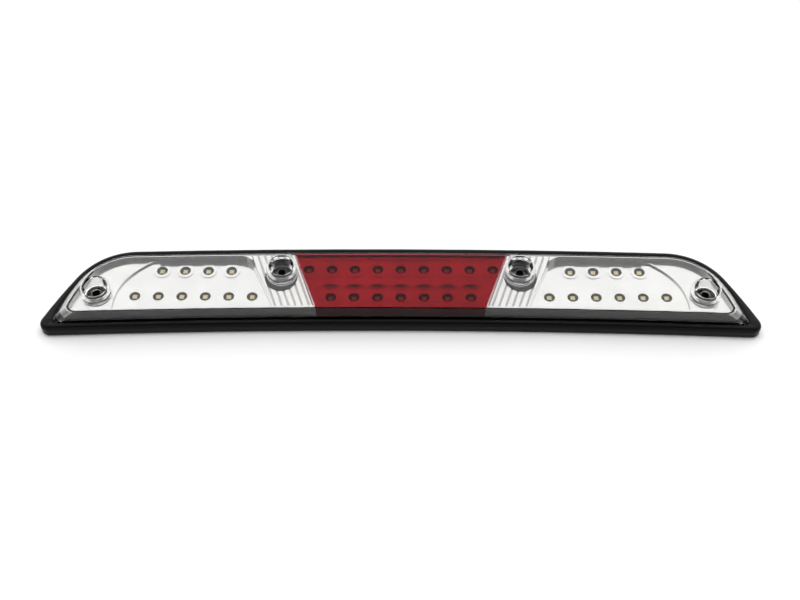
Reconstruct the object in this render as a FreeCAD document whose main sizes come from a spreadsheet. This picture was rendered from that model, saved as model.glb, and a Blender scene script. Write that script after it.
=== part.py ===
"""High-mount stop lamp for the rear of a pickup cab.

The lamp lies on its back: the rear seating face is the plane z = 0, the lens
faces +Z, the long axis is X and +Y points at the roof edge of the lamp.
A black pan-shaped housing carries three LED boards, three bright reflectors
and a bonded lens with a red middle and clear ends.  Four screw wells run
through the lamp.  All lengths are in millimetres.
"""
import FreeCAD, Part
import math
import os
import Sketcher

os.makedirs("parts", exist_ok=True)
doc = FreeCAD.newDocument("high_mount_stop_lamp")
V = FreeCAD.Vector

# ---------------------------------------------------------------- driving dimensions
DIMENSIONS = (
    # plan outline: every rim is made of the same eight tangent arcs
    ("arch_radius", 7000, "radius of both long edges"),
    ("lens_far", 38.8, "roof edge of the lens foot, at the middle"),
    ("lens_near", 32.9, "lower edge of the lens foot, at the middle"),
    ("shoulder_radius", 51, "arc that turns the roof edge down"),
    ("shoulder_x", 223.6, "centre of that arc"),
    ("end_radius", 159.2, "arc of the end of the lens"),
    ("end_x", 128.8, "centre of that arc"),
    ("lens_corner", 5, "lower corner of the lens"),
    ("flange_width", 5, "housing flange outside the lens foot"),
    ("flange_end_radius", 480.8, "arc of the end of the flange"),
    ("flange_end_x", -148.6, "centre of that arc"),
    ("flange_corner", 8, "lower corner of the flange"),
    ("flange_round", 4.2, "rounded top edge of the flange"),
    # heights above the rear seating face
    ("seat", 1, "housing rim above the uncompressed gasket face"),
    ("panel_back", 2, "back of the rear panel"),
    ("panel_top", 3.4, "inside of the rear panel"),
    ("flange_top", 10.5, "top of the flange"),
    ("upstand_top", 18.6, "top of the upstand at the lower side, and of the reflectors"),
    ("face", 23.5, "lens face"),
    # lens
    ("lens_wall", 2.2, "thickness of the lens"),
    ("lens_lean", 12.8, "how far the roof and end walls lean in"),
    ("near_lean", 1.3, "how far the lower wall leans in"),
    ("lens_edge", 1.2, "rounding of the face edge"),
    ("tongue", 2.5, "lens skirt below the flange top"),
    ("red_half", 79.8, "half width of the red zone at y = 0"),
    ("red_slope", 0.35, "sideways run of the red zone edge per unit of y"),
    # channel, sealant and upstand
    ("channel_gap", 0.4, "gap outside the lens skirt"),
    ("channel_width", 2.8, "channel inside the lens foot line"),
    ("channel_depth", 3.5, "channel below the flange top"),
    ("under_lens", 4.4, "upstand foot inside the lens foot line"),
    ("upstand_far", 8.1, "inside of the upstand, roof and end sides"),
    ("upstand_near", 5.4, "inside of the upstand, lower side"),
    ("upstand_low", 12.5, "top of the upstand at the roof and end sides"),
    # rear gasket
    ("gasket_inset", 3.5, "gasket inside the flange edge"),
    ("gasket_width", 7, "width of the gasket"),
    ("gasket_height", 3, "free height of the gasket"),
    ("recess_inset", 9, "rear recess inside the lens foot line"),
    # screw wells
    ("outer_well_x", 251.2, "outer pair of wells"),
    ("outer_well_y", -11, "outer pair of wells"),
    ("inner_well_x", 99.6, "inner pair of wells"),
    ("inner_well_y", 12.1, "inner pair of wells"),
    ("well_radius", 12.4, "outside of a cup"),
    ("well_mouth", 10.4, "inside of a cup at the face"),
    ("well_foot", 8.4, "inside of a cup at its floor"),
    ("well_floor", 14.5, "height of a cup floor"),
    ("well_skirt", 11.9, "bottom of a cup"),
    ("well_hole", 4.3, "hole in a cup floor"),
    ("pillar_radius", 8.2, "pillar under a cup"),
    ("pillar_top", 11.5, "height of a pillar"),
    ("sleeve_radius", 4.1, "outside of a screw sleeve"),
    ("screw_hole", 3.3, "inside of a screw sleeve"),
    # reflectors
    ("tub_gap", 0.2, "clearance between the reflectors and the housing"),
    ("tub_wall", 1.1, "reflector wall"),
    ("rim_inset", 3.8, "reflector rim inside the lens foot line"),
    ("tub_back", 10.2, "underside of the reflector floor"),
    ("tub_floor", 11.8, "reflector floor"),
    ("tray_step", 0.6, "LED tray below the reflector floor"),
    ("tray_x", 115.7, "inner edge of the LED tray at y = 0"),
    ("tray_slope", 0.45, "sideways run of that edge per unit of y"),
    ("crescent_radius", 13.6, "dark opening on the near side of an inner cup"),
    ("crescent_shift", 6.8, "how far that opening is from the cup's middle"),
    ("ramp_low", 12.3, "height of the fluted ramp at its low end"),
    ("ramp_start", -26, "low end of the ramp"),
    ("ramp_rise", 0.105, "slope of the ramp"),
    ("ramp_wall", 1.6, "thickness of the ramp"),
    ("ledge_top", 18.5, "height of the ledge along the roof side of an LED tray"),
    ("ridge_height", 1.2, "height of the ridge round an LED tray"),
    ("ridge_width", 1.6, "width of that ridge"),
    ("disc_radius", 7.2, "raised disc round an upper white LED"),
    ("disc_height", 0.5, "height of that disc"),
    ("flute_pitch", 5.6, "distance between flutes"),
    ("flute_depth", 1, "depth of a flute"),
    ("socket_radius", 12.9, "socket round an inner well"),
    ("well_clearance", 9.3, "hole under a well"),
    ("dish_depth", 3.3, "depth of a brake dish"),
    ("dish_radius", 11.8, "radius of a brake dish at its cusps"),
    ("bank_height", 2, "bank above the cusps at the roof edge"),
    # LEDs and boards
    ("white_pitch", 19.4, "distance between white LEDs"),
    ("white_first", 122.8, "white LED nearest the middle"),
    ("white_low_y", -11.8, "lower row of white LEDs"),
    ("white_high_y", 15.1, "upper row of white LEDs"),
    ("red_pitch", 19.3, "distance between red LEDs"),
    ("red_low_y", -13, "lower row of red LEDs"),
    ("red_high_y", 16.6, "upper row of red LEDs"),
    ("led_side", 5, "side of an LED package"),
    ("led_height", 1.5, "height of an LED package"),
    ("phosphor_side", 3.6, "side of the light-giving window"),
    ("phosphor_height", 0.1, "how far the window stands proud"),
    ("led_hole", 4.5, "reflector hole round an LED"),
    ("board_back", 7.7, "underside of the boards"),
    ("board_thick", 1.2, "thickness of the boards"),
    # small fixings
    ("post_radius", 4.5, "standoff post"),
    ("boss_radius", 2.7, "reflector boss through a board"),
    ("board_hole", 3.1, "board hole round a boss"),
    ("screw_shank", 1.3, "rear screw shank"),
    ("screw_head", 2.8, "rear screw head"),
    ("head_height", 1.5, "height of a rear screw head"),
    ("screw_row_y", 1.7, "row of rear screws"),
    ("lead_radius", 0.65, "board lead"),
    ("lead_height", 5.2, "height of the leads' centre line"),
    ("grommet_hole", 7, "panel hole for the grommet"),
    ("cable_hole", 3.5, "cable bore of the grommet"),
    ("grommet_lip", 9, "rubber lips each side of the panel"),
    ("seal_radius", 7.6, "outside of a well seal"),
    ("seal_height", 0.8, "thickness of a compressed well seal"),
    ("vent_x", 135, "breather holes"),
    ("vent_y", 20, "breather holes"),
    ("vent_hole", 2, "radius of a breather hole"),
    ("vent_patch", 4.5, "radius of the membrane over it"),
    ("rib_back", 1, "back of the stiffening ribs"),
    ("rib_width", 1.6, "thickness of a rib"),
    ("long_rib_x", 120, "middle of a long rib"),
    ("long_rib_y", 7, "distance of the long ribs from the middle"),
    ("long_rib", 210, "length of a long rib"),
    ("cross_rib_pitch", 38.6, "distance between cross ribs"),
    ("cross_rib", 44, "length of a cross rib"),
    ("boss_gap", 0.05, "gap between a reflector boss and its post"),
    ("screw_tip", 9.7, "height of the tips of the rear screws"),
    ("header_height", 3.8, "height of a board header"),
    ("plug_base", 4.1, "underside of the header sockets"),
)

dims = doc.addObject("Spreadsheet::Sheet", "dims")
for row, (alias, number, meaning) in enumerate(DIMENSIONS, start=1):
    dims.set(f"A{row}", meaning)
    dims.set(f"B{row}", str(number))
    dims.setAlias(f"B{row}", alias)
doc.recompute()


def value(expression):
    """Number that an expression over the sheet gives now."""
    return float(dims.evalExpression(str(expression)))


# ---------------------------------------------------------------- general helpers
def bind(thing, **sizes):
    """Bind properties to expressions; x, y and z stand for the position."""
    places = {"x": "Placement.Base.x", "y": "Placement.Base.y", "z": "Placement.Base.z"}
    for name, expression in sizes.items():
        thing.setExpression(places.get(name, name), str(expression))
    return thing


def cylinder(name, radius, height, x, y, z):
    """Upright cylinder bound to the sheet."""
    solid = doc.addObject("Part::Cylinder", name)
    return bind(solid, Radius=radius, Height=height, x=x, y=y, z=z)


def cone(name, foot, mouth, height, x, y, z):
    """Upright cone frustum bound to the sheet."""
    solid = doc.addObject("Part::Cone", name)
    return bind(solid, Radius1=foot, Radius2=mouth, Height=height, x=x, y=y, z=z)


def block(name, length, width, height, x, y, z):
    """Box centred on x and y, standing on z."""
    solid = doc.addObject("Part::Box", name)
    middle_x = f"{x} - ({length}) / 2"
    middle_y = f"{y} - ({width}) / 2"
    return bind(solid, Length=length, Width=width, Height=height, x=middle_x, y=middle_y, z=z)


def fuse(name, solids):
    """Boolean sum of several solids."""
    joined = doc.addObject("Part::MultiFuse", name)
    joined.Shapes = solids
    return joined


def cut(name, base, tool):
    """Boolean difference."""
    result = doc.addObject("Part::Cut", name)
    result.Base = base
    result.Tool = tool
    return result


def common(name, base, tool):
    """Boolean intersection."""
    result = doc.addObject("Part::Common", name)
    result.Base = base
    result.Tool = tool
    return result


def group(name, solids):
    """Several separate solids that share one node."""
    bundle = doc.addObject("Part::Compound", name)
    bundle.Links = solids
    return bundle


def new_body(name):
    """Part Design body."""
    return doc.addObject("PartDesign::Body", name)


def plane(body, role):
    """One of the body's own origin planes."""
    return next(item for item in body.Origin.OriginFeatures if item.Role == role)


def new_sketch(body, name, height):
    """Sketch on the body's XY plane, raised to a height from the sheet."""
    sketch = body.newObject("Sketcher::SketchObject", name)
    sketch.AttachmentSupport = [(plane(body, "XY_Plane"), "")]
    sketch.MapMode = "FlatFace"
    sketch.setExpression("AttachmentOffset.Base.z", str(height))
    return sketch


def pad(body, sketch, length):
    """Pad upwards by a length from the sheet."""
    feature = body.newObject("PartDesign::Pad", f"{sketch.Name}_pad")
    feature.Profile = sketch
    feature.setExpression("Length", str(length))
    sketch.Visibility = False
    return feature


def pocket(body, sketch, length, upwards=False):
    """Pocket by a length from the sheet, downwards unless told otherwise."""
    feature = body.newObject("PartDesign::Pocket", f"{sketch.Name}_pocket")
    feature.Profile = sketch
    feature.Reversed = upwards
    feature.setExpression("Length", str(length))
    return feature


def loft(body, lower, upper):
    """Ruled solid between two outlines."""
    feature = body.newObject("PartDesign::AdditiveLoft", f"{lower.Name}_loft")
    feature.Profile = lower
    feature.Sections = [upper]
    feature.Ruled = True
    return feature


def named(sketch, constraint, name, expression):
    """Add a dimension and bind it to the sheet."""
    index = sketch.addConstraint(constraint)
    sketch.renameConstraint(index, name)
    sketch.setExpression(f"Constraints.{name}", str(expression))


# ---------------------------------------------------------------- the lamp's outline
LENS_RIM = {
    "far": "dims.lens_far",
    "near": "dims.lens_near",
    "shoulder_radius": "dims.shoulder_radius",
    "end_radius": "dims.end_radius",
    "end_x": "dims.end_x",
}
FLANGE_RIM = {
    "far": "dims.lens_far + dims.flange_width",
    "near": "dims.lens_near + dims.flange_width",
    "shoulder_radius": "dims.shoulder_radius + dims.flange_width",
    "end_radius": "dims.flange_end_radius",
    "end_x": "dims.flange_end_x",
}
START, END, CENTRE = 1, 2, 3
ORIGIN, Y_AXIS = -1, -2


def third_corner(first, first_length, second, second_length):
    """Right-hand point at two given distances from two points."""
    gap = second - first
    along = (gap.Length ** 2 + first_length ** 2 - second_length ** 2) / (2 * gap.Length)
    across = math.sqrt(first_length ** 2 - along ** 2)
    unit = V(gap).normalize()
    candidates = [first + unit * along + V(-unit.y, unit.x, 0) * side * across for side in (-1, 1)]
    return max(candidates, key=lambda point: point.x)


def arc_between(centre, radius, start, end):
    """Anticlockwise arc whose ends lie in the directions of two points."""
    angles = [math.atan2(point.y - centre.y, point.x - centre.x) for point in (start, end)]
    if angles[1] < angles[0]:
        angles[1] += 2 * math.pi
    return Part.ArcOfCircle(Part.Circle(centre, V(0, 0, 1), radius), *angles)


def beyond(first, second, distance):
    """Point on the line from first through second, at a distance from first."""
    return first + V(second - first).normalize() * distance


def mirrored(point):
    """The same point on the left."""
    return V(-point.x, point.y, 0)


def add_outline(sketch, rim, inset, near_inset, corner, tag=""):
    """Eight tangent arcs: roof edge, shoulders, ends, lower corners, lower edge.

    inset moves the roof edge and the ends inwards, near_inset the lower edge.
    """
    sizes = {
        "far": f"dims.arch_radius - ({inset})",
        "shoulder": f"{rim['shoulder_radius']} - ({inset})",
        "end": f"{rim['end_radius']} - ({inset})",
        "corner": str(corner),
        "near": f"dims.arch_radius + ({near_inset})",
    }
    radius = {part: value(expression) for part, expression in sizes.items()}
    far_y = f"{rim['far']} - dims.arch_radius"
    near_y = f"0 - ({rim['near']}) - dims.arch_radius"

    arch = V(0, value(far_y), 0)
    floor = V(0, value(near_y), 0)
    shoulder_x = value("dims.shoulder_x")
    drop = math.sqrt((radius["far"] - radius["shoulder"]) ** 2 - shoulder_x ** 2)
    shoulder = V(shoulder_x, arch.y + drop, 0)
    end_x = value(rim["end_x"])
    drop = math.sqrt((radius["end"] - radius["shoulder"]) ** 2 - (shoulder_x - end_x) ** 2)
    tail = V(end_x, shoulder.y - drop, 0)
    turn = third_corner(floor, radius["near"] + radius["corner"],
                        tail, radius["end"] - radius["corner"])

    roof_point = beyond(arch, shoulder, radius["far"])
    side_point = beyond(tail, shoulder, radius["end"])
    low_point = beyond(tail, turn, radius["end"])
    foot_point = beyond(floor, turn, radius["near"])

    arcs = [
        arc_between(arch, radius["far"], roof_point, mirrored(roof_point)),
        arc_between(shoulder, radius["shoulder"], side_point, roof_point),
        arc_between(tail, radius["end"], low_point, side_point),
        arc_between(turn, radius["corner"], foot_point, low_point),
        arc_between(floor, radius["near"], foot_point, mirrored(foot_point)),
        arc_between(mirrored(turn), radius["corner"], mirrored(low_point), mirrored(foot_point)),
        arc_between(mirrored(tail), radius["end"], mirrored(side_point), mirrored(low_point)),
        arc_between(mirrored(shoulder), radius["shoulder"], mirrored(roof_point), mirrored(side_point)),
    ]
    first = sketch.addGeometry(arcs, False)[0]
    far, right, right_end, right_turn, near, left_turn, left_end, left = range(first, first + 8)

    joints = (
        (far, START, right, END), (right, START, right_end, END),
        (right_end, START, right_turn, END), (right_turn, START, near, START),
        (near, END, left_turn, END), (left_turn, START, left_end, END),
        (left_end, START, left, END), (left, START, far, END),
    )
    for one, one_end, other, other_end in joints:
        sketch.addConstraint(Sketcher.Constraint("Tangent", one, one_end, other, other_end))
    for arc, part in ((far, "far"), (right, "shoulder"), (left, "shoulder"),
                      (right_end, "end"), (left_end, "end"),
                      (right_turn, "corner"), (left_turn, "corner"), (near, "near")):
        constraint = Sketcher.Constraint("Radius", arc, radius[part])
        named(sketch, constraint, f"radius{tag}{arc - first}", sizes[part])
    for arc, expression in ((far, far_y), (near, near_y)):
        sketch.addConstraint(Sketcher.Constraint("PointOnObject", arc, CENTRE, Y_AXIS))
        constraint = Sketcher.Constraint("DistanceY", ORIGIN, START, arc, CENTRE, value(expression))
        named(sketch, constraint, f"centre_y{tag}{arc - first}", expression)
    for arc, side, expression in ((right, 1, "dims.shoulder_x"), (left, -1, "dims.shoulder_x"),
                                  (right_end, 1, rim["end_x"]), (left_end, -1, rim["end_x"])):
        offset = f"{side} * {expression}"
        constraint = Sketcher.Constraint("DistanceX", ORIGIN, START, arc, CENTRE, value(offset))
        named(sketch, constraint, f"centre_x{tag}{arc - first}", offset)


def outline(body, name, height, rim, inset, near_inset, corner):
    """Sketch of one closed outline."""
    sketch = new_sketch(body, name, height)
    add_outline(sketch, rim, inset, near_inset, corner)
    return sketch


def ring(body, name, height, rim, outer, inner, outer_corner, inner_corner):
    """Sketch of the band between two outlines."""
    sketch = new_sketch(body, name, height)
    add_outline(sketch, rim, outer, outer, outer_corner, "_outer_")
    add_outline(sketch, rim, inner, inner, inner_corner, "_inner_")
    return sketch


def lean(inset, extra, height):
    """Inset of a surface parallel to the lens walls, at a height."""
    return f"{extra} + {inset} * ({height} - dims.flange_top) / (dims.face - dims.flange_top)"


# ---------------------------------------------------------------- repeated places
WELLS = (
    ("-dims.outer_well_x", "dims.outer_well_y"),
    ("-dims.inner_well_x", "dims.inner_well_y"),
    ("dims.inner_well_x", "dims.inner_well_y"),
    ("dims.outer_well_x", "dims.outer_well_y"),
)


def white_places(side):
    """Centres of one side's white LEDs: six in the lower row, four in the upper."""
    def column(k):
        return f"{side} * (dims.white_first + {k} * dims.white_pitch)"
    low = [(column(k), "dims.white_low_y") for k in range(6)]
    high = [(column(k), "dims.white_high_y") for k in range(1, 5)]
    return low + high


def red_places():
    """Centres of the red LEDs: seven in the lower row, nine in the upper."""
    low = [(f"{k} * dims.red_pitch", "dims.red_low_y") for k in range(-3, 4)]
    high = [(f"{k} * dims.red_pitch", "dims.red_high_y") for k in range(-4, 5)]
    return low + high


def cargo_screw_places(side):
    """Rear screws of one cargo board, between its LED columns."""
    return [(f"{side} * (dims.white_first + {k} * dims.white_pitch)", "dims.screw_row_y")
            for k in (0.5, 2.5, 4.5)]


def brake_screw_places():
    """Rear screws of the brake board, between its LED columns."""
    return [(f"{k} * dims.red_pitch", "dims.screw_row_y") for k in (-3.5, -1.5, 1.5, 3.5)]


SCREWS = cargo_screw_places(-1) + brake_screw_places() + cargo_screw_places(1)


def circles(body, name, height, places, radius):
    """Sketch of equal circles at places from the sheet."""
    sketch = new_sketch(body, name, height)
    for number, (x, y) in enumerate(places):
        centre = V(value(x), value(y), 0)
        circle = sketch.addGeometry(Part.Circle(centre, V(0, 0, 1), value(radius)), False)
        for kind, size, tag in (("DistanceX", x, "x"), ("DistanceY", y, "y")):
            constraint = Sketcher.Constraint(kind, ORIGIN, START, circle, CENTRE, value(size))
            named(sketch, constraint, f"{tag}{number}", size)
        named(sketch, Sketcher.Constraint("Radius", circle, value(radius)), f"r{number}", radius)
    return sketch


def polygon(body, name, height, corners):
    """Sketch of a closed polygon whose corners come from the sheet."""
    sketch = new_sketch(body, name, height)
    points = [V(value(x), value(y), 0) for x, y in corners]
    lines = [Part.LineSegment(start, end) for start, end in zip(points, points[1:] + points[:1])]
    sketch.addGeometry(lines, False)
    count = len(lines)
    for line in range(count):
        after = (line + 1) % count
        sketch.addConstraint(Sketcher.Constraint("Coincident", line, END, after, START))
    for line, (x, y) in enumerate(corners):
        for kind, size, tag in (("DistanceX", x, "x"), ("DistanceY", y, "y")):
            constraint = Sketcher.Constraint(kind, ORIGIN, START, line, START, value(size))
            named(sketch, constraint, f"{tag}{line}", size)
    return sketch


# ---------------------------------------------------------------- rear housing
VENTS = (("-dims.vent_x", "dims.vent_y"), ("dims.vent_x", "dims.vent_y"))


def make_housing():
    """Black pan with a rounded flange, lens channel, upstand, pillars and posts."""
    body = new_body("rear_housing")
    rim = outline(body, "flange_outline", "dims.seat", FLANGE_RIM, "0", "0", "dims.flange_corner")
    flange = pad(body, rim, "dims.flange_top - dims.seat")
    doc.recompute()
    top = value("dims.flange_top")
    edges = [f"Edge{number}" for number, edge in enumerate(flange.Shape.Edges, start=1)
             if abs(edge.BoundBox.ZMin - top) < 0.01 and abs(edge.BoundBox.ZMax - top) < 0.01]
    rounding = body.newObject("PartDesign::Fillet", "flange_rounding")
    rounding.Base = (flange, edges)
    rounding.setExpression("Radius", "dims.flange_round")

    high = "dims.upstand_top"
    foot = outline(body, "upstand_foot", "dims.flange_top", LENS_RIM,
                   "dims.under_lens", "dims.under_lens", "dims.lens_corner")
    head = outline(body, "upstand_head", high, LENS_RIM,
                   lean("dims.lens_lean", "dims.under_lens", high),
                   lean("dims.near_lean", "dims.under_lens", high), "dims.lens_corner")
    loft(body, foot, head)
    cavity = outline(body, "board_cavity", high, LENS_RIM,
                     "dims.upstand_far", "dims.upstand_near", "dims.lens_corner")
    pocket(body, cavity, "dims.upstand_top - dims.panel_top")
    lowering = outline(body, "upstand_lowering", high, LENS_RIM, "dims.channel_width",
                       "dims.upstand_near", "dims.lens_corner")
    pocket(body, lowering, "dims.upstand_top - dims.upstand_low")
    channel = ring(body, "lens_channel", "dims.flange_top", LENS_RIM,
                   "-dims.channel_gap", "dims.channel_width", "dims.lens_corner", "dims.lens_corner")
    pocket(body, channel, "dims.channel_depth")
    recess = outline(body, "rear_recess", "dims.seat", LENS_RIM,
                     "dims.recess_inset", "dims.recess_inset", "dims.lens_corner")
    pocket(body, recess, "dims.panel_back - dims.seat", upwards=True)
    groove = ring(body, "gasket_groove", "dims.seat", FLANGE_RIM,
                  "dims.gasket_inset", "dims.gasket_inset + dims.gasket_width",
                  "dims.flange_corner", "dims.lens_corner")
    pocket(body, groove, "dims.gasket_height - dims.seat", upwards=True)

    pad(body, circles(body, "pillars", "dims.seat", WELLS, "dims.pillar_radius"),
        "dims.pillar_top - dims.seat")
    pocket(body, circles(body, "sleeve_holes", "dims.pillar_top", WELLS, "dims.sleeve_radius"),
           "dims.pillar_top")
    pad(body, circles(body, "posts", "dims.panel_back", SCREWS, "dims.post_radius"),
        "dims.board_back - dims.panel_back")
    pocket(body, circles(body, "screw_holes", "dims.board_back", SCREWS, "dims.screw_shank"),
           "dims.board_back")
    add_rear_ribs(body)
    pocket(body, circles(body, "inlet_hole", "dims.board_back", [("0", "dims.screw_row_y")],
                         "dims.grommet_hole"), "dims.board_back")
    pocket(body, circles(body, "vent_holes", "dims.board_back", VENTS, "dims.vent_hole"),
           "dims.board_back")
    return body


def add_rear_ribs(body):
    """Stiffening ribs in the rear recess, kept clear of screws, grommet and vents."""
    ribs = [(f"{sign} * dims.long_rib_x", f"{row} * dims.long_rib_y", "dims.long_rib", "dims.rib_width")
            for sign in (-1, 1) for row in (-1, 1)]
    ribs += [(f"{k} * dims.cross_rib_pitch", "0", "dims.rib_width", "dims.cross_rib")
             for k in (-6, -5, -4, -3, -1, 1, 3, 4, 5, 6)]
    for number, (x, y, length, width) in enumerate(ribs):
        corners = [(f"{x} + {right} * ({length}) / 2", f"{y} + {up} * ({width}) / 2")
                   for right, up in ((-1, -1), (1, -1), (1, 1), (-1, 1))]
        sketch = polygon(body, f"rib_{number}", "dims.rib_back", corners)
        pad(body, sketch, "dims.panel_back - dims.rib_back")


# ---------------------------------------------------------------- lens
def zone_corners(side, first_gap, reach=320):
    """Corners of the plan area of a cargo zone, beyond the slanting red zone edge."""
    def edge(y):
        return f"{side} * (dims.red_half + dims.red_slope * ({y}) + {first_gap})"
    return [(edge(-60), "-60"), (f"{side * reach}", "-60"), (f"{side * reach}", "60"), (edge(60), "60")]


def middle_corners(gap, top=60):
    """Corners of the plan area of the red zone, up to a given y."""
    def edge(side, y):
        return f"{side} * (dims.red_half + dims.red_slope * ({y}) - ({gap}))"
    return [(edge(side, y), str(y)) for side, y in ((-1, -60), (1, -60), (1, top), (-1, top))]


def zone(name, corners, low="0", high="40"):
    """Upright prism over a plan area."""
    body = new_body(name)
    pad(body, polygon(body, f"{name}_plan", low, corners), f"{high} - ({low})")
    return body


def lens_volume(name, foot_far, foot_near, ceiling, skirt_inset, skirt_bottom):
    """Solid under the leaning lens walls, with a straight skirt below the flange top."""
    body = new_body(name)
    lower = outline(body, f"{name}_foot", "dims.flange_top", LENS_RIM,
                    foot_far, foot_near, "dims.lens_corner")
    upper = outline(body, f"{name}_face", ceiling, LENS_RIM,
                    lean("dims.lens_lean", foot_far, f"({ceiling})"),
                    lean("dims.near_lean", foot_near, f"({ceiling})"), "dims.lens_corner")
    loft(body, lower, upper)
    skirt = outline(body, f"{name}_skirt", skirt_bottom, LENS_RIM,
                    skirt_inset, skirt_inset, "dims.lens_corner")
    pad(body, skirt, f"dims.flange_top - ({skirt_bottom})")
    return body


def make_lens():
    """Bonded lens: a red middle and two clear ends, with four screw wells."""
    bottom = "dims.flange_top - dims.tongue"
    outside = lens_volume("lens_outside", "0", "0", "dims.face", "0", bottom)
    doc.recompute()
    face = value("dims.face")
    edges = [f"Edge{number}" for number, edge in enumerate(outside.Shape.Edges, start=1)
             if edge.BoundBox.ZMin > face - 0.01]
    last = outside.Tip
    rounding = outside.newObject("PartDesign::Fillet", "face_rounding")
    rounding.Base = (last, edges)
    rounding.setExpression("Radius", "dims.lens_edge")

    slant = "dims.lens_wall * sqrt(2)"
    inside = lens_volume("lens_inside", slant, "dims.lens_wall", "dims.face - dims.lens_wall",
                         "dims.lens_wall", f"{bottom} - 1")
    cups = fuse("cups", [cylinder(f"cup_{number}", "dims.well_radius", "dims.face - dims.well_skirt",
                                  x, y, "dims.well_skirt") for number, (x, y) in enumerate(WELLS)])
    hollow = cut("lens_hollow", inside, cups)
    shell = cut("lens_shell", outside, hollow)
    tools = []
    for number, (x, y) in enumerate(WELLS):
        tools.append(cone(f"mouth_{number}", "dims.well_foot", "dims.well_mouth",
                          "dims.face - dims.well_floor", x, y, "dims.well_floor"))
        tools.append(cylinder(f"rim_{number}", "dims.well_mouth", "1", x, y, "dims.face"))
        tools.append(cylinder(f"hole_{number}", "dims.well_hole", "20", x, y, "5"))
        tools.append(cylinder(f"seat_{number}", "dims.well_clearance",
                              "dims.pillar_top + dims.seal_height - dims.well_skirt + 1",
                              x, y, "dims.well_skirt - 1"))
    lens = cut("whole_lens", shell, fuse("well_tools", tools))
    nodes = {"red_lens": common("red_lens", lens, zone("red_zone", middle_corners("0")))}
    for side, word in ((-1, "left"), (1, "right")):
        area = zone(f"{word}_zone", zone_corners(side, "0"))
        nodes[f"{word}_clear_lens"] = common(f"{word}_clear_lens", lens, area)
    return nodes


# ---------------------------------------------------------------- reflectors
def reflector_tub():
    """Tub that fills the upstand: floor, near wall and walls under the leaning lens."""
    gap = "dims.tub_gap"
    body = new_body("tub_block")
    sides = outline(body, "tub_sides", "dims.tub_back", LENS_RIM, f"dims.upstand_far + {gap}",
                    f"dims.upstand_near + {gap}", "dims.lens_corner")
    pad(body, sides, "dims.upstand_top - dims.tub_back")
    cover = lens_volume("tub_cover", "dims.under_lens", "dims.under_lens",
                        "dims.upstand_top", "dims.under_lens", "dims.tub_back")
    return common("tub_solid", body, cover)


def tub_space(name, floor):
    """Space above a height inside the reflector walls."""
    body = new_body(name)
    inset = "dims.tub_gap + dims.tub_wall"
    sides = outline(body, f"{name}_outline", floor, LENS_RIM, f"dims.upstand_far + {inset}",
                    f"dims.upstand_near + {inset}", "dims.lens_corner")
    pad(body, sides, f"30 - ({floor})")
    return body


def reflector_rim():
    """Bright rim that reaches out over the low upstand of the roof and end sides."""
    body = new_body("rim_block")
    bottom = "dims.upstand_low + dims.tub_gap"
    sides = outline(body, "rim_sides", bottom, LENS_RIM, "dims.rim_inset",
                    "dims.upstand_near + dims.tub_gap", "dims.lens_corner")
    pad(body, sides, f"dims.upstand_top - ({bottom})")
    cover = lens_volume("rim_cover", "dims.rim_inset", "dims.under_lens",
                        "dims.upstand_top", "dims.under_lens", "dims.tub_back")
    return common("rim_solid", body, cover)


TRAY_NEAR = -29
FAR_EDGE = ((203, 24.9), (196, 25.1), (178, 25.6), (160, 26), (142, 26.4), (134, 26.2), (129.8, 25))


def tray_corners(side, grow="0"):
    """Plan of a shallow LED tray: slanting inner edge, S-shaped outer edge, rounded far corners."""
    def inner(y):
        return f"{side} * (dims.tray_x + dims.tray_slope * ({y}) - {grow})"

    def outer(y):
        return f"{side} * ({237 - 33 * ((y - TRAY_NEAR) / 56) ** 2.8} + {grow})"
    corners = [(inner(TRAY_NEAR), str(TRAY_NEAR))]
    corners += [(outer(y), str(y)) for y in range(TRAY_NEAR, 25, 4)]
    corners += [(f"{side} * {x}", f"{y} + {grow} / 2") for x, y in FAR_EDGE]
    corners.append((inner(22.5), f"22.5 + {grow} / 2"))
    return corners


def ledge_corners(side):
    """Plan of the ledge between the roof side of a tray and the tub wall."""
    plan = ((113, 40), (206, 40), (204, 24.4)) + FAR_EDGE + ((125, 22), (113, 22))
    return [(f"{side} * {x}", str(y)) for x, y in plan]


def flute_corners(side, wall):
    """Plan of the fluted zone between the red zone and the LED tray."""
    def inner(y):
        return f"{side} * (dims.red_half + dims.red_slope * ({y}) + dims.tub_gap + {wall})"

    def outer(y):
        return f"{side} * (dims.tray_x + dims.tray_slope * ({y}) - dims.ridge_width - {wall})"
    return [(inner(-40), "-40"), (outer(-40), "-40"), (outer(40), "40"), (inner(40), "40")]


RAMP_Y = -40
RAMP_BOX = 20


def ramp_box(name, side, drop):
    """Tilted block whose underside is the ramp's surface, lowered by a distance."""
    solid = doc.addObject("Part::Box", name)
    solid.Placement.Rotation = FreeCAD.Rotation(V(1, 0, 0), math.degrees(math.atan(value("dims.ramp_rise"))))
    return bind(solid, Length="90", Width="100", Height=str(RAMP_BOX), x=f"{side} * 100 - 45", y=str(RAMP_Y),
                z=f"dims.ramp_low + dims.ramp_rise * ({RAMP_Y} - dims.ramp_start) - ({drop})")


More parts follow.
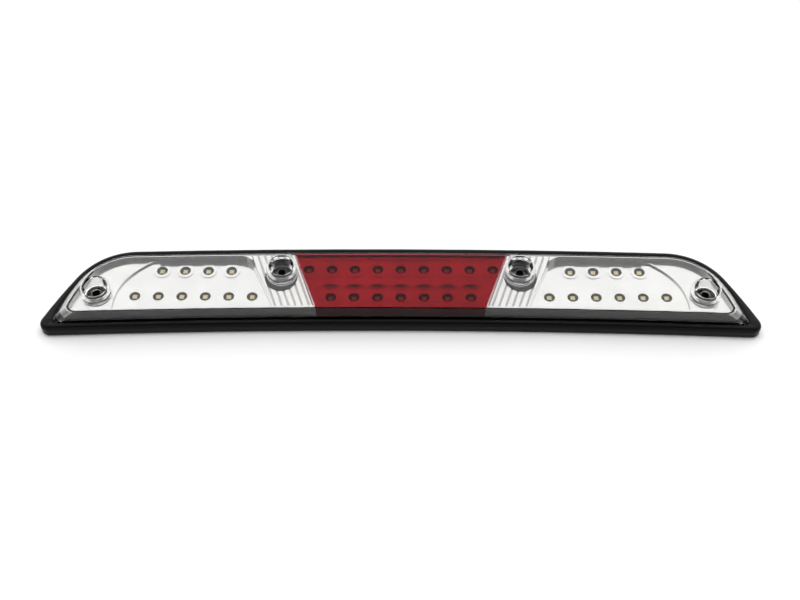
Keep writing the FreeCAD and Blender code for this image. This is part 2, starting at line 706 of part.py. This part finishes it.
def flutes(word, side):
    """Square bars laid corner down along the ramp; each cuts one V-shaped flute."""
    tilt = FreeCAD.Rotation(V(1, 0, 0), math.degrees(math.atan(value("dims.ramp_rise"))))
    upright = FreeCAD.Rotation(V(0, 0, 1), -side * math.degrees(math.atan(value("dims.red_slope"))))
    corner_down = FreeCAD.Rotation(V(0, 1, 0), -45)
    bar_side = "dims.flute_pitch / sqrt(2)"
    edge_x = f"dims.red_half + dims.red_slope * ({RAMP_Y}) + dims.tub_gap"
    bars = []
    for number in range(7):
        bar = doc.addObject("Part::Box", f"{word}_flute_{number}")
        bar.Placement.Rotation = tilt.multiply(upright).multiply(corner_down)
        bind(bar, Length=bar_side, Width="90", Height=bar_side, y=str(RAMP_Y),
             x=f"{side} * ({edge_x} + {number + 0.5} * dims.flute_pitch)",
             z=f"dims.ramp_low + dims.ramp_rise * ({RAMP_Y} - dims.ramp_start) - dims.flute_depth")
        bars.append(bar)
    return fuse(f"{word}_flutes", bars)


def led_openings(prefix, places):
    """Round holes for the LEDs."""
    return [cylinder(f"{prefix}_led_hole_{number}", "dims.led_hole", "30", x, y, "0")
            for number, (x, y) in enumerate(places)]


def screw_bosses(prefix, places):
    """Bosses under a reflector that reach through the board to the standoff posts."""
    return [cylinder(f"{prefix}_boss_{number}", "dims.boss_radius",
                     "dims.tub_back - dims.board_back - dims.boss_gap + 0.2", x, y,
                     "dims.board_back + dims.boss_gap")
            for number, (x, y) in enumerate(places)]


def pilot_holes(prefix, places):
    """Blind holes that the rear screws cut their threads in."""
    return [cylinder(f"{prefix}_pilot_{number}", "dims.screw_shank", "dims.screw_tip - 6", x, y, "6")
            for number, (x, y) in enumerate(places)]


def make_cargo_reflector(word, side, tub, floor_space, under_space):
    """Bright reflector behind one clear end: fluted ramp, LED tray, ledge and outer floor."""
    area = zone(f"{word}_reflector_zone", zone_corners(side, "dims.tub_gap"))
    mass = fuse(f"{word}_reflector_mass",
                [common(f"{word}_reflector_tub", tub, area)]
                + screw_bosses(word, cargo_screw_places(side)))

    tray_floor = "dims.tub_floor - dims.tray_step"
    discs = [cylinder(f"{word}_disc_{number}", "dims.disc_radius", "dims.disc_height", x, y, tray_floor)
             for number, (x, y) in enumerate(white_places(side)[6:])]
    tray = zone(f"{word}_tray", tray_corners(side), tray_floor)
    flute_zone = zone(f"{word}_flute_zone", flute_corners(side, "0"))
    kept = fuse(f"{word}_kept", [
        flute_zone,
        zone(f"{word}_ledge", ledge_corners(side), "0", "dims.ledge_top"),
        cut(f"{word}_ridge", zone(f"{word}_ridge_block", tray_corners(side, "dims.ridge_width"), "0",
                                  "dims.tub_floor + dims.ridge_height"), tray)])
    open_floor = cut(f"{word}_open_floor", floor_space, kept)
    tray_space = common(f"{word}_tray_space", under_space, cut(f"{word}_tray_cut", tray, fuse(
        f"{word}_tray_kept", discs + [flute_zone])))
    above = fuse(f"{word}_ramp_tools", [ramp_box(f"{word}_above_ramp", side, "0"), flutes(word, side)])
    ramp_space = common(f"{word}_ramp_space", floor_space,
                        common(f"{word}_ramp_cut", flute_zone, above))
    place = (f"{side} * dims.inner_well_x", "dims.inner_well_y")
    socket = cylinder(f"{word}_socket", "dims.socket_radius + dims.tub_wall", "30", *place, "0")
    pocket_space = cylinder(f"{word}_inner_pocket", "dims.socket_radius", "30", *place, "dims.tub_floor")
    beside_cup = cylinder(f"{word}_beside_cup", "dims.socket_radius", "32", *place, "-1")
    crescent = cylinder(f"{word}_inner_crescent", "dims.crescent_radius", "30", place[0],
                        "dims.inner_well_y - dims.crescent_shift", "0")
    drop = f"dims.ramp_wall + {RAMP_BOX} * sqrt(1 + dims.ramp_rise^2)"
    below = common(f"{word}_below_ramp", ramp_box(f"{word}_below_box", side, drop),
                   zone(f"{word}_below_zone", flute_corners(side, "dims.tub_wall"), "5"))
    hollow = cut(f"{word}_ramp_hollow", common(f"{word}_under_ramp", below, under_space), socket)
    tools = [open_floor, tray_space, ramp_space, hollow, pocket_space,
             cut(f"{word}_crescent", crescent, beside_cup),
             cylinder(f"{word}_inner_hole", "dims.well_clearance", "30", *place, "0"),
             cylinder(f"{word}_outer_hole", "dims.well_clearance", "30",
                      f"{side} * dims.outer_well_x", "dims.outer_well_y", "0")]
    tools += led_openings(word, white_places(side))
    tools += pilot_holes(word, cargo_screw_places(side))
    return cut(f"{word}_cargo_reflector", mass, fuse(f"{word}_reflector_tools", tools))


def make_brake_reflector(tub, floor_space):
    """Bright reflector behind the red middle: overlapping round dishes and a roof-side bank."""
    mass = fuse("brake_reflector_mass",
                [common("brake_reflector_tub", tub, zone("brake_zone", middle_corners("dims.tub_gap")))]
                + screw_bosses("brake", brake_screw_places()))
    inner_gap = "dims.tub_gap + dims.tub_wall"
    inside = zone("brake_inside", middle_corners(inner_gap))
    below_bank = zone("brake_below_bank", middle_corners(inner_gap, 24))
    cusps = "dims.tub_floor + dims.dish_depth"
    ball = "(dims.dish_radius^2 + dims.dish_depth^2) / (2 * dims.dish_depth)"
    dishes = []
    for number, (x, y) in enumerate(red_places()):
        dish = doc.addObject("Part::Sphere", f"brake_dish_{number}")
        dishes.append(bind(dish, Radius=ball, x=x, y=y, z=f"dims.tub_floor + {ball}"))
    dish_space = common("brake_dish_space", fuse("brake_dishes", dishes), floor_space)
    tools = [common("brake_dish_cut", dish_space, inside),
             common("brake_cusp_cut", tub_space("cusp_space", cusps), below_bank),
             common("brake_bank_cut", tub_space("bank_space", f"{cusps} + dims.bank_height"), inside)]
    tools += led_openings("brake", red_places())
    tools += pilot_holes("brake", brake_screw_places())
    return cut("brake_reflector", mass, fuse("brake_reflector_tools", tools))


# ---------------------------------------------------------------- boards and LEDs
def cargo_board_corners(side):
    """Plan of a cargo board: it follows the slanting inner edge of the LED tray."""
    plan = ((114, -20), (228, -20), (224, -4), (211, 22), (132, 22))
    return [(f"{side} * {x}", str(y)) for x, y in plan]


BRAKE_BOARD = (("-67", "-21"), ("67", "-21"), ("83.5", "25"), ("-83.5", "25"))


def make_board(name, corners, screws):
    """Circuit board with a clearance hole round each reflector boss."""
    body = new_body(name)
    pad(body, polygon(body, f"{name}_plan", "dims.board_back", corners), "dims.board_thick")
    pocket(body, circles(body, f"{name}_holes", "dims.board_back", screws, "dims.board_hole"),
           "dims.board_thick", upwards=True)
    return body


def make_leds(word, places):
    """LED packages on a board, and the light-giving windows let into their tops."""
    top = "dims.board_back + dims.board_thick"
    window_floor = f"{top} + dims.led_height - 0.5"
    packages = []
    windows = []
    for number, (x, y) in enumerate(places):
        case = block(f"{word}_case_{number}", "dims.led_side", "dims.led_side", "dims.led_height", x, y, top)
        seat = block(f"{word}_seat_{number}", "dims.phosphor_side", "dims.phosphor_side", "1",
                     x, y, window_floor)
        packages.append(cut(f"{word}_package_{number}", case, seat))
        windows.append(block(f"{word}_window_{number}", "dims.phosphor_side", "dims.phosphor_side",
                             "0.5 + dims.phosphor_height", x, y, window_floor))
    return {f"{word}_leds": group(f"{word}_leds", packages),
            f"{word}_led_windows": group(f"{word}_led_windows", windows)}


def under_board(name, length, width, height, x, y):
    """Small component hanging under a board."""
    return block(name, length, width, height, x, y, f"dims.board_back - ({height})")


def make_components():
    """Resistors, diodes and the current regulator on the undersides of the boards."""
    resistor_places = [(f"{side} * (dims.white_first + {k} * dims.white_pitch)", "15")
                       for side in (-1, 1) for k in (1, 2, 3, 4)]
    resistor_places += [(f"{k} * dims.red_pitch", "18") for k in (-3, -2, -1, 1, 2, 3)]
    resistors = [under_board(f"resistor_{n}", "3.2", "1.6", "0.6", x, y)
                 for n, (x, y) in enumerate(resistor_places)]
    diode_places = ((-178, -10), (178, -10), (24, -12), (34, -12))
    diodes = [under_board(f"diode_{n}", "4.6", "2.6", "2.1", str(x), str(y))
              for n, (x, y) in enumerate(diode_places)]
    return {"series_resistors": group("series_resistors", resistors),
            "blocking_diodes": group("blocking_diodes", diodes),
            "current_regulator": under_board("current_regulator", "6.5", "6.1", "2.3", "-20", "-10")}


# ---------------------------------------------------------------- plugs and leads
LEAD_Y = -15
LEAD_ENDS = (62, 121)
LEAD_GAP = 2.6


def make_headers():
    """Board headers with their mating lead plugs, and the header for the vehicle harness."""
    headers = []
    plugs = []
    for side in (-1, 1):
        for number, x in enumerate(LEAD_ENDS):
            outward = side if number == 0 else -side
            word = f"{'left' if side < 0 else 'right'}_{number}"
            shell = under_board(f"header_shell_{word}", "7", "7.4", "dims.header_height",
                                str(side * x), str(LEAD_Y))
            socket = block(f"header_socket_{word}", "6", "6", "3", f"{side * x} + {outward}", str(LEAD_Y),
                           "dims.plug_base")
            headers.append(cut(f"header_{word}", shell, socket))
            core = block(f"plug_core_{word}", "5.6", "5.6", "2.6", f"{side * x} + {outward * 1.4}",
                         str(LEAD_Y), "dims.plug_base + 0.2")
            bores = [sideways(f"plug_bore_{word}_{pin}", "dims.lead_radius", "3", side * x + outward * 4.2,
                              LEAD_Y + pin * LEAD_GAP, -outward) for pin in (-0.5, 0.5)]
            plugs.append(cut(f"plug_{word}", core, fuse(f"plug_bores_{word}", bores)))
    supply = cut("supply_header", under_board("supply_shell", "11", "7", "dims.header_height", "0", "-12"),
                 block("supply_socket", "9", "5", "3.2", "0", "-12", "dims.plug_base - 0.4"))
    return {"board_headers": group("board_headers", headers), "lead_plugs": group("lead_plugs", plugs),
            "supply_header": supply}


def sideways(name, radius, length, x, y, direction):
    """Cylinder along X at the height of the leads."""
    solid = doc.addObject("Part::Cylinder", name)
    solid.Placement.Rotation = FreeCAD.Rotation(V(0, 1, 0), 90 * direction)
    return bind(solid, Radius=radius, Height=length, x=str(x), y=str(y), z="dims.lead_height")


def lead_path(points):
    """Straight runs joined by tangent arcs through a list of points."""
    edges = []
    radii = []
    start = points[0]
    for before, corner, after in zip(points, points[1:], points[2:]):
        inward, outward = before - corner, after - corner
        half_turn = (math.pi - inward.getAngle(outward)) / 2
        trim = 0.45 * min(inward.Length, outward.Length)
        radius = trim / math.tan(half_turn)
        radii.append(round(radius, 1))
        bisector = (V(inward).normalize() + V(outward).normalize()).normalize()
        first = corner + V(inward).normalize() * trim
        last = corner + V(outward).normalize() * trim
        middle = corner + bisector * (radius / math.cos(half_turn) - radius)
        edges += [Part.LineSegment(start, first).toShape(), Part.Arc(first, middle, last).toShape()]
        start = last
    edges.append(Part.LineSegment(start, points[-1]).toShape())
    return Part.Wire(edges), radii


def make_board_leads(word, side):
    """Pair of leads from the brake board to one cargo board, with a little slack."""
    route = ((LEAD_ENDS[0] + 3.2, 0), (76, 0), (88, -4.5), (100, -4.5), (110, 0), (LEAD_ENDS[1] - 3.2, 0))
    height = value("dims.lead_height")
    radius = value("dims.lead_radius")
    solids = []
    for pin in (-0.5, 0.5):
        points = [V(side * x, LEAD_Y + y + pin * LEAD_GAP, height) for x, y in route]
        path, radii = lead_path(points)
        end_face = Part.Face(Part.Wire(Part.Circle(points[0], V(side, 0, 0), radius).toShape()))
        lead = path.makePipe(end_face)
        expected = math.pi * radius ** 2 * path.Length
        print(f"{word} lead: length {path.Length:.1f} mm, turn radii {radii} mm, "
              f"volume {lead.Volume:.2f} of {expected:.2f} mm3")
        solids.append(lead)
    leads = doc.addObject("Part::Feature", f"{word}_board_leads")
    leads.Shape = Part.makeCompound(solids)
    return leads


# ---------------------------------------------------------------- fixings and seals
def tube(name, outer, inner, height, x, y, z):
    """Plain ring or sleeve."""
    return cut(name, cylinder(f"{name}_outer", outer, height, x, y, z),
               cylinder(f"{name}_inner", inner, f"{height} + 2", x, y, f"{z} - 1"))


def make_fixings():
    """Screw sleeves, well seals and rear screws."""
    sleeves = [tube(f"sleeve_{n}", "dims.sleeve_radius", "dims.screw_hole", "dims.well_floor - dims.seat",
                    x, y, "dims.seat") for n, (x, y) in enumerate(WELLS)]
    seals = [tube(f"seal_{n}", "dims.seal_radius", "dims.well_hole + 0.4", "dims.seal_height",
                  x, y, "dims.pillar_top") for n, (x, y) in enumerate(WELLS)]
    screws = []
    for n, (x, y) in enumerate(SCREWS):
        head = cylinder(f"head_{n}", "dims.screw_head", "dims.head_height", x, y,
                        "dims.panel_back - dims.head_height")
        shank = cylinder(f"shank_{n}", "dims.screw_shank", "dims.screw_tip - dims.panel_back + 0.2",
                         x, y, "dims.panel_back - 0.2")
        drive = [block(f"slot_{n}_{turn}", length, width, "0.8", x, y,
                       "dims.panel_back - dims.head_height - 0.1")
                 for turn, (length, width) in enumerate((("3.4", "0.8"), ("0.8", "3.4")))]
        screws.append(cut(f"screw_{n}", fuse(f"screw_blank_{n}", [head, shank]), fuse(f"drive_{n}", drive)))
    return {"screw_sleeves": group("screw_sleeves", sleeves), "well_seals": group("well_seals", seals),
            "rear_screws": group("rear_screws", screws)}


def make_seals():
    """Lens sealant, rear gasket, cable grommet and breather membranes."""
    sealant = new_body("lens_sealant")
    floor = "dims.flange_top - dims.channel_depth"
    pad(sealant, ring(sealant, "sealant_plan", floor, LENS_RIM, "-dims.channel_gap", "dims.channel_width",
                      "dims.lens_corner", "dims.lens_corner"), "dims.channel_depth - dims.tongue")
    gasket = new_body("rear_gasket")
    pad(gasket, ring(gasket, "gasket_plan", "0", FLANGE_RIM, "dims.gasket_inset",
                     "dims.gasket_inset + dims.gasket_width", "dims.flange_corner", "dims.lens_corner"),
        "dims.gasket_height")
    row = "dims.screw_row_y"
    lips = [cylinder("grommet_back_lip", "dims.grommet_lip", "1.6", "0", row, "dims.panel_back - 1.6"),
            cylinder("grommet_core", "dims.grommet_hole", "dims.panel_top - dims.panel_back", "0", row,
                     "dims.panel_back"),
            cone("grommet_inner_lip", "dims.grommet_lip", "dims.grommet_hole - 1", "1.8", "0", row,
                 "dims.panel_top")]
    grommet = cut("cable_grommet", fuse("grommet_blank", lips),
                  cylinder("grommet_bore", "dims.cable_hole", "10", "0", row, "0"))
    patches = [cylinder(f"membrane_{n}", "dims.vent_patch", "0.4", x, y, "dims.panel_back - 0.4")
               for n, (x, y) in enumerate(VENTS)]
    return {"lens_sealant": sealant, "rear_gasket": gasket, "cable_grommet": grommet,
            "vent_membranes": group("vent_membranes", patches)}


# ---------------------------------------------------------------- assembly
nodes = {"rear_housing": make_housing()}
nodes.update(make_lens())
tub_solid = reflector_tub()
rimmed_tub = fuse("rimmed_tub", [tub_solid, reflector_rim()])
above_floor = tub_space("floor_space", "dims.tub_floor")
under_floor = tub_space("under_space", "dims.tub_back - 1")
for hand, sign in (("left", -1), ("right", 1)):
    nodes[f"{hand}_cargo_reflector"] = make_cargo_reflector(hand, sign, rimmed_tub, above_floor, under_floor)
    nodes[f"{hand}_cargo_board"] = make_board(f"{hand}_cargo_board", cargo_board_corners(sign),
                                              cargo_screw_places(sign))
    nodes.update(make_leds(f"{hand}_cargo", white_places(sign)))
    nodes[f"{hand}_board_leads"] = make_board_leads(hand, sign)
nodes["brake_reflector"] = make_brake_reflector(tub_solid, above_floor)
nodes["brake_board"] = make_board("brake_board", BRAKE_BOARD, brake_screw_places())
nodes.update(make_leds("brake", red_places()))
nodes.update(make_components())
nodes.update(make_headers())
nodes.update(make_fixings())
nodes.update(make_seals())

doc.recompute()
failed = [item.Name for item in doc.Objects if {"Invalid", "Error"} & set(item.State)]
if failed:
    raise RuntimeError("failed objects: " + ", ".join(failed))
for name, node in nodes.items():
    node.Label = name
    if node.Shape.isNull() or not node.Shape.isValid():
        raise RuntimeError("bad shape: " + name)
for name, node in nodes.items():
    node.Shape.exportStep(f"parts/{name}.step")
    print(f"{name}: {len(node.Shape.Solids)} solids, {node.Shape.Volume:.0f} mm3")
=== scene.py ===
"""Looks, light and camera for a slim third brake light that lies on its back."""

import math

import bpy
from mathutils import Matrix, Vector

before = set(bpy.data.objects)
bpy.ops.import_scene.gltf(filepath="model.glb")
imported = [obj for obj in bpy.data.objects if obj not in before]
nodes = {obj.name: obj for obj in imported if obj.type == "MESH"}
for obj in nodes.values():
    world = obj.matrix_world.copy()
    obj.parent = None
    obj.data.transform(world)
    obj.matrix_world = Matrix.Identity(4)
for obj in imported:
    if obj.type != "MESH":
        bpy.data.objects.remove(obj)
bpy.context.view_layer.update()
scene = bpy.context.scene
MM = 0.001


# ---------------------------------------------------------------- material helpers
class Surface:
    """One principled material, with procedural detail added step by step."""

    def __init__(self, name, **sockets):
        self.material = bpy.data.materials.new(name)
        self.material.use_nodes = True
        self.tree = self.material.node_tree
        self.shader = self.tree.nodes["Principled BSDF"]
        for socket, setting in sockets.items():
            self.shader.inputs[socket.replace("_", " ")].default_value = setting
        self.place = self.tree.nodes.new("ShaderNodeTexCoord").outputs["Object"]

    def link(self, source, target):
        """Join two sockets."""
        self.tree.links.new(source, target)

    def noise(self, size, detail=3.0, stretch=(1, 1, 1)):
        """Noise with features of about a size in metres."""
        mapping = self.tree.nodes.new("ShaderNodeMapping")
        mapping.inputs["Scale"].default_value = stretch
        self.link(self.place, mapping.inputs["Vector"])
        texture = self.tree.nodes.new("ShaderNodeTexNoise")
        texture.inputs["Scale"].default_value = 1 / size
        texture.inputs["Detail"].default_value = detail
        self.link(mapping.outputs["Vector"], texture.inputs["Vector"])
        return texture.outputs["Fac"]

    def cells(self, size):
        """Distance to the nearest cell centre, for foam and grain."""
        texture = self.tree.nodes.new("ShaderNodeTexVoronoi")
        texture.inputs["Scale"].default_value = 1 / size
        self.link(self.place, texture.inputs["Vector"])
        return texture.outputs["Distance"]

    def spread(self, factor, low, high, start=0.3, end=0.7):
        """Number that goes from low to high as a factor goes from start to end."""
        step = self.tree.nodes.new("ShaderNodeMapRange")
        step.inputs["From Min"].default_value = start
        step.inputs["From Max"].default_value = end
        step.inputs["To Min"].default_value = low
        step.inputs["To Max"].default_value = high
        self.link(factor, step.inputs["Value"])
        return step.outputs["Result"]

    def roughness(self, factor, low, high):
        """Roughness that varies over the surface."""
        self.link(self.spread(factor, low, high), self.shader.inputs["Roughness"])
        return self

    def colours(self, factor, first, second, start=0.35, end=0.65):
        """Base colour that varies between two colours."""
        mix = self.tree.nodes.new("ShaderNodeMix")
        mix.data_type = "RGBA"
        mix.inputs["A"].default_value = (*first, 1)
        mix.inputs["B"].default_value = (*second, 1)
        self.link(self.spread(factor, 0, 1, start, end), mix.inputs["Factor"])
        self.link(mix.outputs["Result"], self.shader.inputs["Base Color"])
        return self

    def edge_wear(self, first, second):
        """Base colour that changes along sharp edges."""
        pointiness = self.tree.nodes.new("ShaderNodeNewGeometry").outputs["Pointiness"]
        return self.colours(pointiness, first, second, 0.5, 0.56)

    def bump(self, factor, depth, strength=1.0):
        """Relief of a depth in metres."""
        relief = self.tree.nodes.new("ShaderNodeBump")
        relief.inputs["Strength"].default_value = strength
        relief.inputs["Distance"].default_value = depth
        self.link(factor, relief.inputs["Height"])
        self.link(relief.outputs["Normal"], self.shader.inputs["Normal"])
        return self


def wear(material, *names):
    """Give CAD nodes a material."""
    for name in names:
        mesh = nodes[name].data
        mesh.materials.clear()
        mesh.materials.append(material)


# ---------------------------------------------------------------- materials
clear = Surface("clear acrylic", Transmission_Weight=1.0, IOR=1.49, Specular_Tint=(0.6, 0.6, 0.6, 1))
clear.colours(clear.noise(0.05, 1.0), (0.985, 0.985, 0.98), (0.97, 0.972, 0.97))
clear.roughness(clear.noise(0.02), 0.0, 0.012).bump(clear.noise(0.03, 1.0), 0.00002, 0.4)
wear(clear.material, "left_clear_lens", "right_clear_lens")

red = Surface("red acrylic", Transmission_Weight=1.0, IOR=1.49, Specular_Tint=(0.2, 0.14, 0.14, 1))
red.colours(red.noise(0.04, 1.0), (0.54, 0.085, 0.11), (0.51, 0.08, 0.105))
red.roughness(red.noise(0.02), 0.0, 0.012).bump(red.noise(0.03, 1.0), 0.00002, 0.4)
wear(red.material, "red_lens")

housing = Surface("black gloss housing", Specular_IOR_Level=0.08)
housing.edge_wear((0.004, 0.004, 0.0045), (0.016, 0.016, 0.017))
housing.roughness(housing.noise(0.006, 4.0), 0.09, 0.17).bump(housing.noise(0.0015), 0.00002, 0.3)
wear(housing.material, "rear_housing")

bright = Surface("metallised reflector", Metallic=0.74)
bright.colours(bright.noise(0.03, 2.0), (0.66, 0.656, 0.648), (0.62, 0.616, 0.608))
bright.roughness(bright.noise(0.01), 0.12, 0.2).bump(bright.noise(0.008, 2.0), 0.00003, 0.5)
wear(bright.material, "left_cargo_reflector", "right_cargo_reflector")

dishes = Surface("polished brake dishes", Metallic=1.0)
dishes.colours(dishes.noise(0.03, 2.0), (0.56, 0.55, 0.55), (0.5, 0.49, 0.49))
dishes.roughness(dishes.noise(0.01), 0.06, 0.11).bump(dishes.noise(0.008, 2.0), 0.00003, 0.3)
wear(dishes.material, "brake_reflector")

board = Surface("circuit board", Specular_IOR_Level=0.15)
board.colours(board.noise(0.012, 2.0, (1, 4, 1)), (0.035, 0.034, 0.022), (0.055, 0.052, 0.034), 0.48, 0.52)
board.roughness(board.noise(0.004), 0.35, 0.5).bump(board.noise(0.012, 2.0, (1, 4, 1)), 0.00005)
wear(board.material, "left_cargo_board", "right_cargo_board", "brake_board")

# Painted shade: the LED case colour is a dark olive, as if the case sat in shadow inside its reflector
# hole
case = Surface("LED case", Specular_IOR_Level=0.25)
case.colours(case.noise(0.002), (0.09, 0.078, 0.045), (0.13, 0.11, 0.065))
case.roughness(case.noise(0.001), 0.35, 0.5).bump(case.noise(0.0006), 0.00002)
wear(case.material, "left_cargo_leds", "right_cargo_leds", "brake_leds")

white_window = Surface("white phosphor")
white_window.colours(white_window.noise(0.0016), (0.85, 0.68, 0.32), (0.92, 0.8, 0.48))
white_window.roughness(white_window.noise(0.001), 0.3, 0.45).bump(white_window.noise(0.0008), 0.00003)
wear(white_window.material, "left_cargo_led_windows", "right_cargo_led_windows")

red_window = Surface("red phosphor")
red_window.colours(red_window.noise(0.0016), (0.5, 0.3, 0.22), (0.62, 0.4, 0.3))
red_window.roughness(red_window.noise(0.001), 0.25, 0.4).bump(red_window.noise(0.0008), 0.00003)
wear(red_window.material, "brake_led_windows")

black_part = Surface("moulded black package")
black_part.colours(black_part.noise(0.001), (0.012, 0.012, 0.012), (0.03, 0.03, 0.03))
black_part.roughness(black_part.noise(0.0008), 0.45, 0.65).bump(black_part.noise(0.0005), 0.00003)
wear(black_part.material, "series_resistors", "blocking_diodes", "current_regulator")

nylon = Surface("natural nylon", Subsurface_Weight=0.1, Subsurface_Scale=0.001)
nylon.colours(nylon.noise(0.004), (0.72, 0.69, 0.6), (0.8, 0.77, 0.68))
nylon.roughness(nylon.noise(0.001), 0.4, 0.55).bump(nylon.noise(0.0006), 0.00003)
wear(nylon.material, "board_headers", "supply_header", "lead_plugs")

sheath = Surface("wire sheath")
sheath.colours(sheath.noise(0.004), (0.02, 0.02, 0.022), (0.04, 0.04, 0.042))
sheath.roughness(sheath.noise(0.001), 0.35, 0.5).bump(sheath.noise(0.0006), 0.00003)
wear(sheath.material, "left_board_leads", "right_board_leads")

zinc = Surface("zinc plated steel", Metallic=1.0)
zinc.colours(zinc.noise(0.002), (0.5, 0.5, 0.48), (0.68, 0.68, 0.66))
zinc.roughness(zinc.noise(0.0012), 0.25, 0.42).bump(zinc.noise(0.0008), 0.00002)
wear(zinc.material, "rear_screws")

sleeve = Surface("blackened steel sleeve", Metallic=1.0)
sleeve.colours(sleeve.noise(0.003, 3.0, (1, 1, 8)), (0.05, 0.05, 0.052), (0.1, 0.1, 0.1))
sleeve.roughness(sleeve.noise(0.0015, 3.0, (1, 1, 8)), 0.2, 0.35)
sleeve.bump(sleeve.noise(0.002, 2.0, (1, 1, 12)), 0.00002)
wear(sleeve.material, "screw_sleeves")

rubber = Surface("black rubber")
rubber.colours(rubber.noise(0.004), (0.012, 0.012, 0.012), (0.03, 0.03, 0.03))
rubber.roughness(rubber.noise(0.002), 0.5, 0.7).bump(rubber.noise(0.0005), 0.00005)
wear(rubber.material, "well_seals", "cable_grommet", "lens_sealant")

foam = Surface("closed-cell foam")
foam.colours(foam.cells(0.0009), (0.012, 0.012, 0.013), (0.05, 0.05, 0.052), 0.1, 0.6)
foam.roughness(foam.noise(0.003), 0.8, 0.95).bump(foam.cells(0.0009), 0.0002)
wear(foam.material, "rear_gasket")

membrane = Surface("breather membrane", Sheen_Weight=0.2)
membrane.colours(membrane.noise(0.0007), (0.72, 0.72, 0.7), (0.82, 0.82, 0.8))
membrane.roughness(membrane.noise(0.001), 0.7, 0.9).bump(membrane.cells(0.0004), 0.00005)
wear(membrane.material, "vent_membranes")


# ---------------------------------------------------------------- camera
ELEVATION = math.radians(52)
DISTANCE = 0.9638
LOOK_AT = Vector((-0.65, -5.5, 0)) * MM
LENS = 51.75
ROLL = 0.00305

lens = bpy.data.cameras.new("camera")
lens.lens = LENS
lens.sensor_width = 36
lens.clip_start = 0.05
camera = bpy.data.objects.new("camera", lens)
scene.collection.objects.link(camera)
back = Vector((0, -math.cos(ELEVATION), math.sin(ELEVATION)))
turn = (-back).to_track_quat("-Z", "Y").to_matrix().to_4x4() @ Matrix.Rotation(ROLL, 4, "Z")
camera.matrix_world = Matrix.Translation(LOOK_AT + back * DISTANCE) @ turn
scene.camera = camera


# ---------------------------------------------------------------- floor and light
FLOOR_HALF = 80
FLOOR_DROP = 0.2 * MM
BRIGHT, DIM = 1.75, 0.04
SIDE_SHARE = 0.3
LIGHT_AIM = Vector((0, 0, 0))
LIGHTS = (  # name, size, place and power
    ("overhead", (2.4, 1.5), (0, 0, 1.6), 10),
    ("front_strip", (1.6, 0.3), (0, -1.5, 0.5), 3),
)


def make_floor():
    """Pale floor that reaches to the horizon in low views."""
    mesh = bpy.data.meshes.new("floor")
    corners = [(x * FLOOR_HALF, y * FLOOR_HALF, 0) for x, y in ((-1, -1), (1, -1), (1, 1), (-1, 1))]
    mesh.from_pydata(corners, [], [(0, 1, 2, 3)])
    floor = bpy.data.objects.new("floor", mesh)
    scene.collection.objects.link(floor)
    floor.location.z = -FLOOR_DROP
    paper = Surface("white paper sweep")
    paper.colours(paper.noise(0.2), (0.93, 0.93, 0.93), (0.95, 0.95, 0.95))
    paper.roughness(paper.noise(0.05), 0.75, 0.85).bump(paper.noise(0.002), 0.00005, 0.2)
    mesh.materials.append(paper.material)


def softbox(name, size, place, power):
    """Rectangular area light that faces the lamp, and isn't seen through its lens."""
    light = bpy.data.lights.new(name, "AREA")
    light.shape = "RECTANGLE"
    light.size, light.size_y = size
    light.energy = power
    lamp = bpy.data.objects.new(name, light)
    scene.collection.objects.link(lamp)
    lamp.location = place
    lamp.rotation_euler = (LIGHT_AIM - Vector(place)).to_track_quat("-Z", "Y").to_euler()
    lamp.visible_transmission = False


def fade(tree, source, start, end, low, high):
    """Smooth change of strength, from low to high as a direction goes from start to end."""
    step = tree.nodes.new("ShaderNodeMapRange")
    step.interpolation_type = "SMOOTHSTEP"
    step.inputs["From Min"].default_value = start
    step.inputs["From Max"].default_value = end
    step.inputs["To Min"].default_value = low
    step.inputs["To Max"].default_value = high
    tree.links.new(source, step.inputs["Value"])
    return step.outputs["Result"]


def combine(tree, operation, *sources):
    """Result of an operation on one or two numbers."""
    node = tree.nodes.new("ShaderNodeMath")
    node.operation = operation
    for source, socket in zip(sources, node.inputs):
        tree.links.new(source, socket)
    return node.outputs["Value"]


def make_world():
    """Studio that is bright above and behind, dimmer at the sides and dark in front."""
    world = bpy.data.worlds.new("studio")
    scene.world = world
    world.use_nodes = True
    tree = world.node_tree
    place = tree.nodes.new("ShaderNodeTexCoord").outputs["Generated"]
    split = tree.nodes.new("ShaderNodeSeparateXYZ")
    tree.links.new(place, split.inputs["Vector"])
    behind = fade(tree, split.outputs["Y"], -0.4, 0.2, DIM, BRIGHT)
    sideways = fade(tree, combine(tree, "ABSOLUTE", split.outputs["X"]), 0.95, 0.6, SIDE_SHARE, 1)
    background = tree.nodes["Background"]
    background.inputs["Color"].default_value = (1, 1, 1, 1)
    tree.links.new(combine(tree, "MULTIPLY", behind, sideways), background.inputs["Strength"])


make_floor()
make_world()
for light in LIGHTS:
    softbox(*light)
scene.view_settings.view_transform = "Standard"
